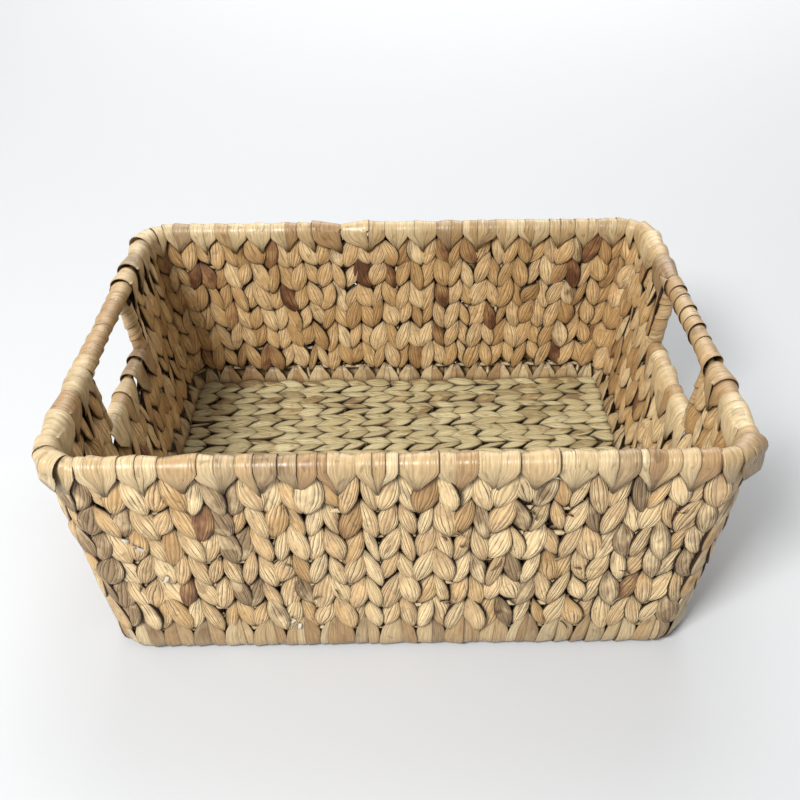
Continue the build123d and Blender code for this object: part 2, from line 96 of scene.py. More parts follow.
# Shares of a turn, and how wide the strand is there: a leaf, widest at the middle of its float,
# and wider again where the strand is hidden in the sheet
LEAF = np.array(
    [
        [0, 0.12, 0.19, 0.25, 0.3, 0.36, 0.42, 0.5, 0.58, 0.66, 0.74, 0.81, 0.88, 1],
        [0.5, 0.3, 0.1, 0.18, 0.4, 0.68, 0.9, 1, 0.84, 0.52, 0.22, 0.1, 0.3, 0.5],
    ]
)
RING_POINTS = 14  # corners of a cross section
ROUND = 26 * MM  # the way round a strand, its two edges at the start and halfway
UV_SHIFT = 3.0  # metres of uv over which strands start, so that no two look alike
TIP_LIFT = 5.0 * MM  # from a hoop up to where the two strands cross at the middle of a V


def half_length(height):
    """Half the outside length at a height; the short walls lean out evenly."""
    return FOOT_HALF_LENGTH + (RIM_HALF_LENGTH - FOOT_HALF_LENGTH) * height / RIM_WIRE_HEIGHT


def half_width(height):
    """Half the outside width at a height."""
    return FOOT_HALF_WIDTH + (RIM_HALF_WIDTH - FOOT_HALF_WIDTH) * height / RIM_WIRE_HEIGHT


def outward(seam):
    """The level direction in which the wall faces at a seam, which may be a fraction."""
    facing = np.radians(np.interp(seam, STRETCH_SEAMS, STRETCH_FACING))
    return np.stack([np.cos(facing), np.sin(facing), np.zeros_like(facing)], -1)


def onward(seam):
    """The level direction in which the seams are counted."""
    out = outward(seam)
    return np.stack([-out[..., 1], out[..., 0], out[..., 2]], -1)


def wall_point(seam, height, inset):
    """Points of the wall: a core rectangle that grows with height, plus the corner radius less
    the inset along the outward direction."""
    seam, height, inset = np.broadcast_arrays(seam, height, inset)
    along = np.interp(seam, STRETCH_SEAMS, STRETCH_ALONG)
    across = np.interp(seam, STRETCH_SEAMS, STRETCH_ACROSS)
    core = np.stack(
        [
            along * (half_length(height) - CORNER_RADIUS),
            across * (half_width(height) - CORNER_RADIUS),
            height,
        ],
        -1,
    )
    return core + outward(seam) * (CORNER_RADIUS - inset)[..., None]


# Meshes


def unit(vectors):
    """Vectors scaled to a length of one."""
    return vectors / np.maximum(np.linalg.norm(vectors, axis=-1, keepdims=True), 1e-12)


def sweep(centre, across, half_width, rise, sink, square=1.0, flutes=0.0):
    """Tubes carried along centre lines.

    centre and across are (tubes, rings, 3) and the sizes (tubes, rings). Each ring lies square to
    its line: x = half_width * cos(a) across, and y = rise * sin(a) towards the face or
    sink * sin(a) away from it, both with the sine and cosine raised to the power square. Flutes
    are shares added to y at each point, (tubes, rings, points).
    """
    tangent = unit(np.gradient(centre, axis=1))
    across = unit(across - tangent * np.sum(across * tangent, -1, keepdims=True))
    face = np.cross(across, tangent)
    angle = np.linspace(0, 2 * np.pi, RING_POINTS, endpoint=False)
    cos = np.sign(np.cos(angle)) * np.abs(np.cos(angle)) ** square
    sin = np.sign(np.sin(angle)) * np.abs(np.sin(angle)) ** square
    height = np.where(sin > 0, rise[..., None], sink[..., None]) * sin * (1 + flutes)
    return (
        centre[:, :, None]
        + across[:, :, None] * (half_width[..., None] * cos)[..., None]
        + face[:, :, None] * height[..., None]
    )


def tube_faces(tubes, rings, points):
    """Corner indices of the quads of closed tubes, and of the polygon at each end."""
    start = (np.arange(tubes) * rings * points)[:, None, None]
    ring = (np.arange(rings - 1) * points)[None, :, None]
    here = np.arange(points)[None, None, :]
    after = (here + 1) % points
    low = start + ring
    quads = np.stack([low + here, low + points + here, low + points + after, low + after], -1)
    ends = start[:, 0] + np.stack([here[0, 0], (rings - 1) * points + here[0, 0, ::-1]])[:, None]
    return quads.reshape(-1, 4), ends.reshape(-1, points)


def tube_mesh(name, rings, uv, values):
    """A mesh of closed tubes from their rings, (tubes, rings, points, 3).

    uv is (tubes, rings, points + 1, 2), because the last point of a ring is the first again
    with the uv of a full turn. values are named numbers that spread to (tubes, rings, points).
    """
    tubes, count, points = rings.shape[:3]
    quads, ends = tube_faces(tubes, count, points)
    mesh = bpy.data.meshes.new(name)
    loops = np.concatenate([quads.ravel(), ends.ravel()])
    sizes = np.concatenate([np.full(len(quads), 4), np.full(len(ends), points)])
    mesh.vertices.add(tubes * count * points)
    mesh.vertices.foreach_set("co", rings.astype(np.float32).ravel())
    mesh.loops.add(len(loops))
    mesh.loops.foreach_set("vertex_index", loops.astype(np.int32))
    mesh.polygons.add(len(sizes))
    starts = np.concatenate([[0], np.cumsum(sizes)[:-1]])
    mesh.polygons.foreach_set("loop_start", starts.astype(np.int32))
    mesh.polygons.foreach_set("use_smooth", np.ones(len(sizes), bool))
    mesh.update(calc_edges=True)
    uv_layer = mesh.uv_layers.new(name="strand")
    corner = uv[:, :-1, :-1], uv[:, 1:, :-1], uv[:, 1:, 1:], uv[:, :-1, 1:]
    quad_uv = np.stack(corner, 3).reshape(-1, 2)
    end_uv = np.stack([uv[:, 0, :-1], uv[:, -1, -2::-1]]).reshape(-1, 2)
    uv_layer.data.foreach_set("uv", np.concatenate([quad_uv, end_uv]).astype(np.float32).ravel())
    for key, value in values.items():
        attribute = mesh.attributes.new(key, "FLOAT", "POINT")
        spread = np.broadcast_to(value, (tubes, count, points))
        attribute.data.foreach_set("value", spread.astype(np.float32).ravel())
    mesh.validate()
    return mesh


def tube_uv(rings, offset):
    """u runs once round each ring over ROUND, v is the length along the tube, from an offset."""
    tubes, count, points = rings.shape[:3]
    middle = rings.mean(2)
    step = np.linalg.norm(np.diff(middle, axis=1), axis=-1)
    length = np.concatenate([np.zeros((tubes, 1)), np.cumsum(step, 1)], 1) + offset[:, None]
    u = np.broadcast_to(np.linspace(0, ROUND, points + 1), (tubes, count, points + 1))
    return np.stack([u, np.broadcast_to(length[..., None], u.shape)], -1)


def place_tubes(name, tubes, material, nodes):
    """Puts tubes, given as for tube_mesh, in the scene as a piece of the basket."""
    mesh = tube_mesh(name, *tubes)
    piece = bpy.data.objects.new(name, mesh)
    bpy.context.scene.collection.objects.link(piece)
    mesh.materials.append(material)
    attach(piece, "root")
    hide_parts(*nodes)


# Materials

ONE_BAND = np.pi / 10  # the scale at which the wave texture has one band a unit
RIDGE_STRETCH = 9  # how much longer than wide the bends in the ridges are
CLEFT_REACH = 4.5 * MM  # how near another surface has to be for a place to count as a cleft and get painted shade


def colour(code):
    """A hex colour as linear red, green, blue and alpha."""
    values = np.array([int(code[k : k + 2], 16) for k in (1, 3, 5)]) / 255
    linear = np.where(values <= 0.04045, values / 12.92, ((values + 0.055) / 1.055) ** 2.4)
    return (*linear, 1.0)


def add_node(tree, kind, inputs, output=0, stops=(), **settings):
    """Adds a node and gives the socket that it puts out.

    inputs maps sockets to values or links, settings are the node's own, and stops are the places
    and colours of a ramp.
    """
    made = tree.nodes.new(kind)
    for name, value in settings.items():
        setattr(made, name, value)
    for _ in stops[2:]:
        made.color_ramp.elements.new(1.0)
    for element, (spot, shade) in zip(made.color_ramp.elements if stops else (), stops):
        element.position = spot
        element.color = shade
    for socket, value in inputs.items():
        if isinstance(value, bpy.types.NodeSocket):
            tree.links.new(value, made.inputs[socket])
        else:
            made.inputs[socket].default_value = value
    return made.outputs[output] if len(made.outputs) else None


def grey(level):
    """A colour that takes a share of what it multiplies."""
    return (level, level, level, 1.0)


def new_material(name):
    """An empty node material and its tree."""
    material = bpy.data.materials.new(name)
    material.use_nodes = True
    material.node_tree.nodes.clear()
    return material, material.node_tree


def calculate(tree, operation, *values):
    """The result of one step of arithmetic on values or links."""
    return add_node(tree, "ShaderNodeMath", dict(enumerate(values)), operation=operation)


def ramp(tree, value, *stops):
    """The colour at a value, between stops that are places and colours."""
    return add_node(tree, "ShaderNodeValToRGB", {"Fac": value}, stops=stops)


def layer(tree, share, below, above, kind="MIX"):
    """A share of one colour laid over another."""
    inputs = {"Factor": share, 6: below, 7: above}
    return add_node(tree, "ShaderNodeMix", inputs, 2, data_type="RGBA", blend_type=kind)


def stretched(tree, gap, stretch):
    """A stalk's own uv, counted in steps of a gap across it and a gap times the stretch along."""
    uv = add_node(tree, "ShaderNodeUVMap", {}, uv_map="strand")
    scale = (1 / gap, 1 / (gap * stretch), 0)
    return add_node(tree, "ShaderNodeVectorMath", {0: uv, 1: scale}, operation="MULTIPLY")


def streaks(tree, gap, stretch, detail, distortion=0.0):
    """Noise drawn out along a stalk."""
    inputs = {"Vector": stretched(tree, gap, stretch), "Scale": 1.0}
    inputs |= {"Detail": detail, "Distortion": distortion}
    return add_node(tree, "ShaderNodeTexNoise", inputs, noise_dimensions="2D")


class Marks(NamedTuple):
    """How the surface of a stalk is marked, and how dark its painted shade is."""

    crease_gap: float  # from one crease to the next
    crease_depth: float  # how dark the creases and how high the ridges are
    edge_band: float  # width of the dark band at an edge, partly the stalk's own dark edge and partly painted shade, as the sine of the angle round
    edge_and_painted_shade_depth: float  # how dark the edge bands and the painted shade in clefts are
    mottling: float  # how much the shade differs from place to place
    gloss: float  # what is taken off the roughness of a matt stalk


def creases(tree, patch, gap, depth):
    """The ridges that run along a stalk, and the thin creases in the valleys between them."""
    wave = {"Vector": stretched(tree, gap, RIDGE_STRETCH), "Scale": ONE_BAND, "Distortion": 3.6}
    wave |= {"Detail": 2.0, "Detail Scale": 1.6}
    ridge = add_node(tree, "ShaderNodeTexWave", wave, "Fac", bands_direction="X")
    valley = ramp(tree, ridge, (0.0, grey(1.0)), (0.05, grey(0.65)), (0.15, grey(0.0)))
    deep = ramp(tree, patch, (0.38, grey(0.05)), (0.62, grey(1.0)))
    creased = calculate(tree, "MULTIPLY", valley, deep)
    return ridge, calculate(tree, "MULTIPLY", creased, depth)


def dark_edges_and_painted_shade(tree, edge_band, edge_and_painted_shade_depth):
    """How dark a place is painted: at a stalk's two edges, where the sine of the angle round it is
    under edge_band, partly its own dark edge and partly painted shade, and with painted shade
    where it goes under another and in clefts with little open sky."""
    # A dark band at each edge, partly the stalk's own dark edge and partly painted shade
    uv = add_node(tree, "ShaderNodeUVMap", {}, uv_map="strand")
    way_round = add_node(tree, "ShaderNodeSeparateXYZ", {0: uv}, "X")
    angle = calculate(tree, "MULTIPLY", way_round, 2 * np.pi / ROUND)
    off_edge = calculate(tree, "ABSOLUTE", calculate(tree, "SINE", angle))
    edge = ramp(tree, off_edge, (0.55 * edge_band, grey(edge_and_painted_shade_depth)), (edge_band, grey(0.0)))
    # Painted shade where a stalk goes under another
    tuck_shade = add_node(tree, "ShaderNodeAttribute", {}, "Fac", attribute_name="tuck_shade")
    # Painted shade in clefts, from how little open sky an ambient occlusion node finds
    reach = {"Distance": CLEFT_REACH}
    open_sky = add_node(tree, "ShaderNodeAmbientOcclusion", reach, "AO", samples=5)
    deepest, deep = (0.3, grey(edge_and_painted_shade_depth)), (0.6, grey(0.7 * edge_and_painted_shade_depth))
    painted_cleft_shade = ramp(tree, open_sky, deepest, deep, (0.8, grey(0.2)), (0.95, grey(0.0)))
    return calculate(tree, "MAXIMUM", calculate(tree, "MAXIMUM", edge, tuck_shade), painted_cleft_shade)


def water_hyacinth(name, shades, crease_and_painted_shade, marks):
    """Dried water hyacinth: a flattened stalk, pale straw to brown, with a faint waxy gloss.

    Ridges run along it, with a thin dark crease in each valley between them, deeper in some
    places than in others. Over them lie fine fibres, soft patches and brown stains. The
    attribute tone chooses a stalk's shade, and on twined strands also holds painted light on
    the sheet's outer face and painted shade on its inner face. A stalk's edges are dark,
    partly its own colour and partly painted shade, and painted shade lies where it goes under
    another and in clefts.
    """
    material, tree = new_material(name)
    tone = add_node(tree, "ShaderNodeAttribute", {}, "Fac", attribute_name="tone")
    fibre = streaks(tree, gap=0.45 * MM, stretch=24, detail=2.0)
    patch = streaks(tree, gap=5 * MM, stretch=3.0, detail=2.0)
    stain = streaks(tree, gap=2.2 * MM, stretch=4.0, detail=3.0, distortion=0.5)
    ridge, crease = creases(tree, patch, marks.crease_gap, marks.crease_depth)
    dark_edges_and_shade = dark_edges_and_painted_shade(tree, marks.edge_band, marks.edge_and_painted_shade_depth)

    patched = calculate(tree, "MULTIPLY_ADD", patch, marks.mottling, tone)
    shade = ramp(tree, calculate(tree, "SUBTRACT", patched, marks.mottling / 2), *shades)
    fibres = ramp(tree, fibre, (0.28, grey(0.74)), (0.72, grey(1.1)))
    shade = layer(tree, 1.0, shade, fibres, "MULTIPLY")
    stains = ramp(tree, stain, (0.6, grey(1.0)), (0.7, grey(0.68)))
    shade = layer(tree, 1.0, shade, stains, "MULTIPLY")
    shade = layer(tree, crease, shade, crease_and_painted_shade)
    # Painted shade in clefts and under other stalks, and the dark edges, partly painted shade
    shade = layer(tree, dark_edges_and_shade, shade, crease_and_painted_shade)

    rounded = calculate(tree, "POWER", ridge, 0.5)
    ridges = calculate(tree, "MULTIPLY", rounded, marks.crease_depth)
    height = calculate(tree, "MULTIPLY_ADD", fibre, 0.3, ridges)
    relief = {"Strength": 0.8, "Distance": 0.5 * MM, "Height": height}
    bump = add_node(tree, "ShaderNodeBump", relief)
    rough = ramp(tree, patch, (0.3, grey(0.95 - marks.gloss)), (0.7, grey(0.78 - marks.gloss)))
    surface = {"Base Color": shade, "Roughness": rough, "IOR": 1.45, "Normal": bump}
    shader = add_node(tree, "ShaderNodeBsdfPrincipled", surface)
    add_node(tree, "ShaderNodeOutputMaterial", {"Surface": shader})
    return material


def lacquered_wire(name, shade, worn_shade):
    """Mild steel wire in a thin tan lacquer that has dulled in patches a few millimetres long."""
    material, tree = new_material(name)
    spot = add_node(tree, "ShaderNodeTexCoord", {}, "Object")
    noise = {"Vector": spot, "Scale": 1 / (4 * MM), "Detail": 3.0}
    worn = add_node(tree, "ShaderNodeTexNoise", noise)
    worn_at = ramp(tree, worn, (0.4, shade), (0.7, worn_shade))
    surface = {"Base Color": worn_at, "Roughness": 0.55, "IOR": 1.5}
    shader = add_node(tree, "ShaderNodeBsdfPrincipled", surface)
    add_node(tree, "ShaderNodeOutputMaterial", {"Surface": shader})
    return material


# Shades run from those of tone 0, brown, over straw in the middle to those of tone 1, greyish
WALL_SHADES = [
    (0.0, colour("#5E3C26")),
    (0.1, colour("#8A6140")),
    (0.2, colour("#A88355")),
    (0.32, colour("#B99362")),
    (0.42, colour("#C7A26E")),
    (0.5, colour("#DAB683")),
    (0.6, colour("#C5A57A")),
    (0.68, colour("#DFC08E")),
    (0.8, colour("#E8CC9C")),
    (0.88, colour("#CBB188")),
    (0.95, colour("#B39A74")),
    (1.0, colour("#947A58")),
]
STRIP_SHADES = [
    (0.0, colour("#7A5638")),
    (0.15, colour("#9C7A56")),
    (0.3, colour("#AC8C62")),
    (0.5, colour("#C1A67B")),
    (0.68, colour("#D0B990")),
    (0.8, colour("#BAA37C")),
    (0.9, colour("#A9906C")),
    (1.0, colour("#927655")),
]
# Colour of the creases, of the dark edges, partly painted shade, and of the painted shade in clefts
# and under other stalks
CREASE_AND_PAINTED_SHADE = colour("#28140A")
WALL_MARKS = Marks(
    crease_gap=1.15 * MM,
    crease_depth=0.85,
    edge_band=0.6,
    edge_and_painted_shade_depth=1.0,
    mottling=0.55,
    gloss=0.36,
)
STRIP_MARKS = Marks(
    crease_gap=1.4 * MM,
    crease_depth=0.3,
    edge_band=0.34,
    edge_and_painted_shade_depth=0.6,
    mottling=0.26,
    gloss=0.5,
)
WALL_FINISH = water_hyacinth("dried_water_hyacinth", WALL_SHADES, CREASE_AND_PAINTED_SHADE, WALL_MARKS)
STRIP_FINISH = water_hyacinth("flattened_water_hyacinth", STRIP_SHADES, CREASE_AND_PAINTED_SHADE, STRIP_MARKS)
WIRE_FINISH = lacquered_wire("tan_lacquered_steel_wire", colour("#C9B48C"), colour("#9A8460"))
HAND_HOLE_WIRES = ["left_hand_hole_wire", "right_hand_hole_wire"]
WIRE_NODES = ["rim_wire", "base_hoop", "base_cross_wires", "upright_wires", *HAND_HOLE_WIRES]
for node in WIRE_NODES + [f"hoop_wire_{k}" for k in range(1, HOOPS + 1)]:
    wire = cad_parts[node]
    wire.data.materials.clear()
    wire.data.materials.append(WIRE_FINISH)


# Twined strands


class Sheet(NamedTuple):
    """A surface that strands are twined over: where it is, which way it faces and runs on."""

    point: Callable  # from a seam, a height and a depth under the surface
    facing: Callable  # from a seam
    onward: Callable  # from a seam


class Twist(NamedTuple):
    """The sizes of a twined pair."""

    pitch: float  # from one wire to the next
    thickness: float  # of the whole sheet
    depth: float  # from the sheet's middle to a strand's own middle, at a float
    half_width: float  # of a strand at a float, as a share of its pair's width
    rise: float  # half thickness of a strand
    swing: float  # how far a strand moves to each side, as a share of its pair's width
    slant: float  # slope of a float's own cross section
    overlap: float  # how far a float reaches past the next one's end, in pitches
    lip: float  # how far a float's first end stands out more than its last
    flutes: float  # unevenness of a strand's surface, as a share of its thickness


# How much the parts of a strand's course and shape differ from float to float, and how much from
# strand to strand. They are shares of the size itself, but seam counts in seams, height in
# pitches and stand, how far out of the sheet a strand lies, in metres, and tilt is a slope.
UNEVEN = {
    "swing": (0.16, 0.0),
    "seam": (0.05, 0.0),
    "overlap": (0.2, 0.06),
    "height": (0.06, 0.0),
    "depth": (0.12, 0.0),
    "stand": (0.35 * MM, 0.0),
    "slant": (0.2, 0.0),
    "tilt": (0.14, 0.0),
    "half_width": (0.14, 0.08),
    "rise": (0.12, 0.06),
}
RING_GAP = 0.02  # turns from a strand's end to the nearest other cross section, at least
END_SLOPE = 2.5  # how fast a strand comes to its full size from its ends, in shares a turn
END_SHARE = 0.05  # of its full size, at the ends themselves
SLIM = 0.3  # of its full size, where a strand is slimmest
FULLNESS = 0.85  # of a float's half thickness, as it bulges to both sides
FACE_FULLNESS = 0.2  # by which it bulges more to the sheet's outside
STRAND_SQUARE = 0.68  # how square a strand's cross section is, where 1 is an ellipse
CROSSING = 0.4  # share of a turn in which a strand's values pass from a float to the next

# Tones, from 0 for brown to 1 for greyish
STRAW_TONE = 0.55
BROWN_SHARE = 0.05  # of floats or strips
BROWN_TONES = (0.05, 0.25)
GREY_SHARE = 0.08  # of whole stalks
GREY_TONE, GREY_SPREAD = 0.93, 0.04
FLOAT_TONE_SPREAD = 0.13
STRAND_TONE_SPREAD = 0.06
OUTSIDE_PAINTED_LIGHT = 0.11  # by which floats on the outside are made paler, as painted light, and those inside browner, as painted shade


def between_floats(values, turns):
    """Values given for each float, carried smoothly from one to the next where they cross.

    values is (strands, floats) and turns (rings), counted in floats from the first one's start.
    """
    spot = np.clip(turns - 0.5, 0, values.shape[1] - 1.001)
    first = spot.astype(int)
    share = np.clip((spot - first - (1 - CROSSING) / 2) / CROSSING, 0, 1)
    share = share * share * (3 - 2 * share)
    return values[:, first] * (1 - share) + values[:, first + 1] * share


def tones(random, shape, spread):
    """Shades for stalks: most of them straw, some places darker, some whole stalks greyish."""
    tone = STRAW_TONE + random.normal(0, spread, shape)
    odd = random.random(shape)
    tone = np.where(odd < BROWN_SHARE, random.uniform(*BROWN_TONES, shape), tone)
    whole = random.random((shape[0], 1))
    grey_tone = GREY_TONE + random.normal(0, GREY_SPREAD, shape)
    tone = np.where(whole > 1 - GREY_SHARE, grey_tone, tone)
    return np.clip(tone, 0, 1)


def ring_turns(bottom, top):
    """The turns at which a strand has its cross sections, from its bottom to its top."""
    turns = (np.arange(np.floor(bottom), np.ceil(top))[:, None] + STEPS).ravel()
    inner = (turns > bottom + RING_GAP) & (turns < top - RING_GAP)
    return np.concatenate([[bottom], turns[inner], [top]])


def twine(sheet, pairs, parity, size, start, bottom, top, seed):
    """The two strands of each twined pair in a row of pairs, numbered by their first seam.

    With t the turns made and a = pi * t, a strand stands -swing * lean across its pair, where
    lean = cos(a) * (3 - cos(a)^2) / 2, and depth * sin(a) * (3 - sin(a)^2) / 2 + lip * cos(a)
    out of the sheet's middle. Its height is pitch * (t - overlap * sin(2a)), so that it goes
    level, or a little back, where it passes through the sheet, and each float is longer than the
    pitch and shaped like a leaf. Its partner is half a circle behind. Neighbouring pairs turn
    opposite ways, so that two of them make a column of Vs.
    """
    random = np.random.default_rng(seed)
    turns = ring_turns(bottom, top)
    counted = turns - np.floor(bottom)
    floats = int(counted[-1]) + 2
    strands = 2 * len(pairs)
    pair = np.repeat(pairs, 2)[:, None]
    handed = np.where((pair + parity) % 2, 1.0, -1.0)
    phase = np.tile([0.0, 1.0], len(pairs))[:, None]

    def vary(part):
        """Random numbers round zero, made of one for a strand and one for each of its floats."""
        float_spread, strand_spread = UNEVEN[part]
        wide = random.normal(0, strand_spread, (strands, 1))
        wide = wide + random.normal(0, float_spread, (strands, floats))
        return between_floats(wide, counted)

    # Its course
    angle = np.pi * (turns[None] + phase)
    sin, cos = np.sin(angle), np.cos(angle)
    from_ends = np.minimum(turns - bottom, top - turns)[None]
    end = np.clip(from_ends * END_SLOPE, END_SHARE, 1)
    swing = size.swing * (1 + vary("swing"))
    seam = pair + 0.5 - handed * swing * (cos * (3 - cos**2) / 2) + vary("seam")
    overlap = size.overlap * (1 + vary("overlap"))
    climbed = turns[None] - overlap * np.sin(2 * angle) * end + vary("height")
    height = start + size.pitch * climbed
    out = size.depth * sin * (1.5 - 0.5 * sin**2) * (1 + vary("depth"))
    out = out + size.lip * cos + vary("stand")
    centre = sheet.point(seam, height, size.thickness / 2 - out * end)

    # Its cross sections
    run = unit(sheet.point(seam, height + MM, 0.0) - sheet.point(seam, height, 0.0))
    slope = handed * size.slant * sin * (1 + vary("slant"))
    across = sheet.onward(seam) - run * slope[..., None]
    across = across + sheet.facing(seam) * vary("tilt")[..., None]
    room = sheet.point(pair + 1, height, 0.0) - sheet.point(pair, height, 0.0)
    room = np.linalg.norm(room, axis=-1)
    leaf = np.interp(turns % 1, *LEAF)
    half_wide = size.half_width * room * leaf * (1 + vary("half_width"))
    half_wide = half_wide * (SLIM + (1 - SLIM) * end)
    shown = np.abs(sin)
    plump = size.rise * (1 + vary("rise")) * (SLIM + (1 - SLIM) * shown**2) * end
    rise = plump * (FULLNESS + FACE_FULLNESS * sin)
    sink = plump * (FULLNESS - FACE_FULLNESS * sin)
    flutes = random.normal(0, size.flutes, (strands, floats, RING_POINTS))
    flutes = flutes[:, counted.astype(int)] * shown[..., None]
    rings = sweep(centre, across, half_wide, rise, sink, STRAND_SQUARE, flutes)

    tone = between_floats(tones(random, (strands, floats), FLOAT_TONE_SPREAD), counted)
    # Floats on the sheet's outer face are made paler as painted light, those on its inner face
    # browner as painted shade
    tone = tone + random.normal(0, STRAND_TONE_SPREAD, (strands, 1)) + OUTSIDE_PAINTED_LIGHT * sin
    # Painted shade where a strand passes through the sheet, under the other strands
    values = {"tone": np.clip(tone, 0, 1)[..., None], "tuck_shade": (1 - shown)[..., None]}
    return rings, tube_uv(rings, random.uniform(0, UV_SHIFT, strands)), values


WALL_TWIST = Twist(
    pitch=PITCH,
    thickness=WALL,
    depth=2.9 * MM,
    half_width=0.68,
    rise=1.75 * MM,
    swing=0.39,
    slant=0.5,
    overlap=0.37,
    lip=1.1 * MM,
    flutes=0.14,
)
WALL_SHEET = Sheet(wall_point, outward, onward)

# Where strands begin and end, in turns from the height WALL_START
WALL_START = HOOP_HEIGHTS[0] + TIP_LIFT
FOOT_TURNS = -0.3
RIM_TURNS = HOOPS - 0.85
SILL_HOOP = 3  # the hoop under the hand holes, counted from the lowest as 0
SILL_TURNS = SILL_HOOP + 0.15


def twined_wall(name, seams, top, nodes, seed):
    """The twined pairs of a stretch of wall."""
    pairs = np.arange(*seams)
    strands = twine(WALL_SHEET, pairs, 0, WALL_TWIST, WALL_START, FOOT_TURNS, top, seed)
    place_tubes(name, strands, WALL_FINISH, nodes)


# Stretches of the wall, with their first and last seams
LONG_WALLS = {"front": (0, 32), "back": (62, 94)}
SHORT_WALLS = {"right": (36, 58), "left": (98, 120)}
SILLS = {"right": (42, 52), "left": (104, 114)}
CORNERS = {
    "front_right": (32, 36),
    "back_right": (58, 62),
    "back_left": (94, 98),
    "front_left": (120, 124),
}
CHEEKS = {
    "front_right": (36, 42),
    "back_right": (52, 58),
    "back_left": (98, 104),
    "front_left": (114, 120),
}

for seed, (side, seams) in enumerate(LONG_WALLS.items(), 10):
    twined_wall(f"{side}_twining", seams, RIM_TURNS, [f"{side}_weave"], seed)
for seed, (quarter, seams) in enumerate(CORNERS.items(), 20):
    corner = f"{quarter}_corner"
    twined_wall(f"{corner}_twining", seams, RIM_TURNS, [f"{corner}_weave"], seed)
for seed, (quarter, seams) in enumerate(CHEEKS.items(), 30):
    cheek = f"{quarter}_cheek"
    twined_wall(f"{cheek}_twining", seams, RIM_TURNS, [f"{cheek}_weave"], seed)
for seed, (side, seams) in enumerate(SILLS.items(), 40):
    twined_wall(f"{side}_sill_twining", seams, SILL_TURNS, [f"{side}_sill_weave"], seed)


# Strips folded over the rim, the sills and the base hoop

OVER = np.linspace(0, np.pi, 11)  # the angles at which a strip is given where it rounds a wire
# The end of a fold from its tip up: how much of the way to the wire's middle it has come, how
# much further in it lies than the wire's side, and its spread
END_CLIMB = np.array([0.0, 0.1, 0.45, 0.75])
END_INSET = np.array([1.4, 0.2, 0.0, 0.0]) * MM
END_SPREAD = np.array([0.08, 0.34, 0.62, 0.88])
TIP_DIVE = 5 * MM  # how much deeper the tip itself goes, under the strands
TIP_ABOVE_HOOP = 1.2 * MM

STRIP_LAP = (0.03, 0.12)  # how far a strip reaches over each of its sides, in seams
CUT_SPREAD = 0.16  # how unevenly a column is cut into strips, in seams
TIP_SPREAD = 1.5 * MM  # how much the heights of tips differ
STRIP_TILT = (0.06, 0.16)  # slope of a strip that lies on its neighbour
TILT_SHARES = [0.25, 0.75]  # of strips that slope one way and the other
STRIP_LIFT = 0.3 * MM  # from the wall to a strip, and up to LIFT_SPREAD more
LIFT_SPREAD = 0.5 * MM
STRIP_RISE = 0.6 * MM  # bulge of a strip, and STRIP_SINK of it to its back
STRIP_SINK = 0.5
RISE_SPREAD = 0.15
STRIP_MARGIN = 0.2 * MM  # on each side of a strip
STRIP_SQUARE = 0.6
STRIP_FLUTES = 0.06
STRIP_TONE_SPREAD = 0.15
DARKEST_STRIP = 0.24
TIP_TUCK_SHADE = 0.6  # painted shade on a strip where it goes under the strands


class Fold(NamedTuple):
    """How a strip runs over an edge, point by point from the outside to the inside."""

    inset: np.ndarray
    height: np.ndarray
    spread: np.ndarray  # width there, as a share of the full width
    gathers: tuple  # 0 where the outer and the inner end gather at a V's middle, 1 at its edge


def over_wire(centre, radius, hoop_height):
    """A fold from above a hoop on the outside, round the top of a wire and back down inside.

    The round part is inset = middle - radius * cos(a), height = centre + radius * sin(a).
    """
    tip = hoop_height + TIP_ABOVE_HOOP
    climb = tip + END_CLIMB * (centre - tip)
    climb[0] -= TIP_DIVE
    end = WALL / 2 - radius + END_INSET
    inset = np.concatenate([end, WALL / 2 - radius * np.cos(OVER), WALL - end[::-1]])
    height = np.concatenate([climb, centre + radius * np.sin(OVER), climb[::-1]])
    spread = np.concatenate([END_SPREAD, np.ones(len(OVER)), END_SPREAD[::-1]])
    return Fold(inset, height, spread, gathers=(0, 1))


def loose_over_wire(centre, radius):
    """A wide fold that stands off the strips under it, with a blunt, open end on the outside."""
    outer_inset = np.array([-2.6, -1.9, -1.0, -0.4]) * MM
    inner_inset = np.array([10.9, 10.8, 10.4, 9.4]) * MM
    outer_drop = np.array([11.5, 8.5, 5.0, 2.0]) * MM
    inner_drop = np.array([3, 8, 13, 19]) * MM
    inset = np.concatenate([outer_inset, WALL / 2 - radius * np.cos(OVER), inner_inset])
    round_height = centre + radius * np.sin(OVER)
    height = np.concatenate([centre - outer_drop, round_height, centre - inner_drop])
    full = np.ones(len(OVER) + 1)
    spread = np.concatenate([[0.72, 0.86, 0.96], full, [0.95, 0.75, 0.45, 0.15]])
    return Fold(inset, height, spread, gathers=(0, 1))


def cut_columns(columns, cuts, random):
    """Strips for columns of Vs, as the seams at the V's middle and at the strip's two sides.

    cuts are the shares of columns that have one, two and three strips.
    """
    rows = []
    for first in columns:
        sides = first + np.linspace(0, 2, random.choice([2, 3, 4], p=cuts))
        sides[1:-1] += random.normal(0, CUT_SPREAD, len(sides) - 2)
        rows += [(first + 1, low, high) for low, high in zip(sides[:-1], sides[1:])]
    return rows


